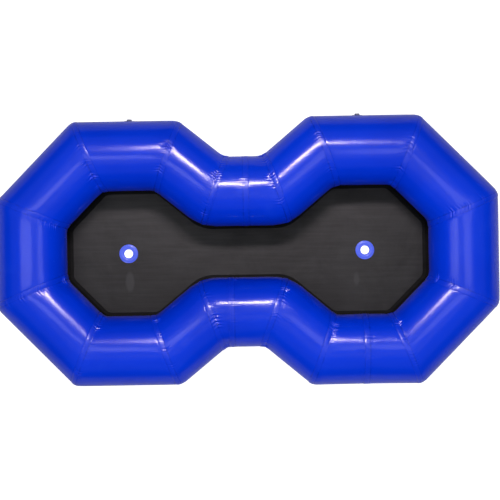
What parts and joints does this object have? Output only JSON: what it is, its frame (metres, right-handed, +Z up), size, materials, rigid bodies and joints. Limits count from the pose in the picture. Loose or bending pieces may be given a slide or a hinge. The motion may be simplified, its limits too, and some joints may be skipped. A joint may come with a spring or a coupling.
{
  "type": "inflatable river tube",
  "caption": "Two-rider in-line inflatable tube with a figure-of-eight air ring, a flat floor with drain holes, and inflation valves.",
  "frame": {"origin": "middle of the whole outline, valve caps included, on the ground under the floor", "axes": "+X along the tube towards the larger well, +Y towards the side with the valves, +Z up"},
  "size_m": [2.161, 1.166, 0.301],
  "materials": {
    "tube_fabric": "gloss blue PVC-coated fabric",
    "inner_tape": "welded PVC tape",
    "bulkhead_fabric": "PVC-coated fabric",
    "floor_fabric": "satin black PVC-coated fabric",
    "border_strip": "matt black PVC strip",
    "drain_ring": "gloss blue PVC patch",
    "valve_flange": "satin blue PVC",
    "valve_body": "moulded grey plastic",
    "valve_stem": "moulded pale plastic",
    "valve_spring": "stainless wire",
    "valve_seal": "soft rubber",
    "valve_cap": "moulded grey plastic"
  },
  "bodies": {
    "tube": {"far_bulkhead": "bulkhead_fabric", "floor_border_strip": "border_strip", "floor_panel": "floor_fabric", "left_drain_ring": "drain_ring", "left_end_panel": "tube_fabric", "left_far_corner_panel": "tube_fabric", "left_far_corner_seam_tape": "inner_tape", "left_far_end_seam_tape": "inner_tape", "left_far_shoulder_panel": "tube_fabric", "left_far_shoulder_seam_tape": "inner_tape", "left_far_side_panel": "tube_fabric", "left_far_waist_panel": "tube_fabric", "left_far_waist_seam_tape": "inner_tape", "left_near_corner_panel": "tube_fabric", "left_near_corner_seam_tape": "inner_tape", "left_near_end_seam_tape": "inner_tape", "left_near_shoulder_panel": "tube_fabric", "left_near_shoulder_seam_tape": "inner_tape", "left_near_side_panel": "tube_fabric", "left_near_waist_panel": "tube_fabric", "left_near_waist_seam_tape": "inner_tape", "left_valve_body": "valve_body", "left_valve_flange": "valve_flange", "left_valve_spring": "valve_spring", "left_valve_tether": "valve_cap", "near_bulkhead": "bulkhead_fabric", "right_drain_ring": "drain_ring", "right_end_panel": "tube_fabric", "right_far_corner_panel": "tube_fabric", "right_far_corner_seam_tape": "inner_tape", "right_far_end_seam_tape": "inner_tape", "right_far_shoulder_panel": "tube_fabric", "right_far_shoulder_seam_tape": "inner_tape", "right_far_side_panel": "tube_fabric", "right_far_waist_panel": "tube_fabric", "right_far_waist_seam_tape": "inner_tape", "right_near_corner_panel": "tube_fabric", "right_near_corner_seam_tape": "inner_tape", "right_near_end_seam_tape": "inner_tape", "right_near_shoulder_panel": "tube_fabric", "right_near_shoulder_seam_tape": "inner_tape", "right_near_side_inner_panel": "tube_fabric", "right_near_side_outer_panel": "tube_fabric", "right_near_side_seam_tape": "inner_tape", "right_near_waist_panel": "tube_fabric", "right_near_waist_seam_tape": "inner_tape", "right_valve_body": "valve_body", "right_valve_flange": "valve_flange", "right_valve_spring": "valve_spring", "right_valve_tether": "valve_cap"},
    "left_stem": {"left_valve_stem": "valve_stem", "left_valve_seal": "valve_seal"},
    "left_cap": {"left_valve_cap": "valve_cap", "left_valve_cap_seal": "valve_seal"},
    "right_stem": {"right_valve_stem": "valve_stem", "right_valve_seal": "valve_seal"},
    "right_cap": {"right_valve_cap": "valve_cap", "right_valve_cap_seal": "valve_seal"}
  },
  "joints": [
    {"name": "left_cap_hinge", "type": "hinge", "parent": "tube", "child": "left_cap", "pos_m": [-0.5025, 0.56795, 0.1374], "axis": [-1, 0, 0], "range_deg": [0, 120]},
    {"name": "left_stem_slide", "type": "slide", "parent": "tube", "child": "left_stem", "axis": [0, -1, 0], "range_m": [0, 0.003], "stiffness_N_per_m": 800, "springref_m": -0.004, "deforming": ["left_valve_spring"]},
    {"name": "right_cap_hinge", "type": "hinge", "parent": "tube", "child": "right_cap", "pos_m": [0.48, 0.57745, 0.1374], "axis": [-1, 0, 0], "range_deg": [0, 120]},
    {"name": "right_stem_slide", "type": "slide", "parent": "tube", "child": "right_stem", "axis": [0, -1, 0], "range_m": [0, 0.003], "stiffness_N_per_m": 800, "springref_m": -0.004, "deforming": ["right_valve_spring"]}
  ]
}
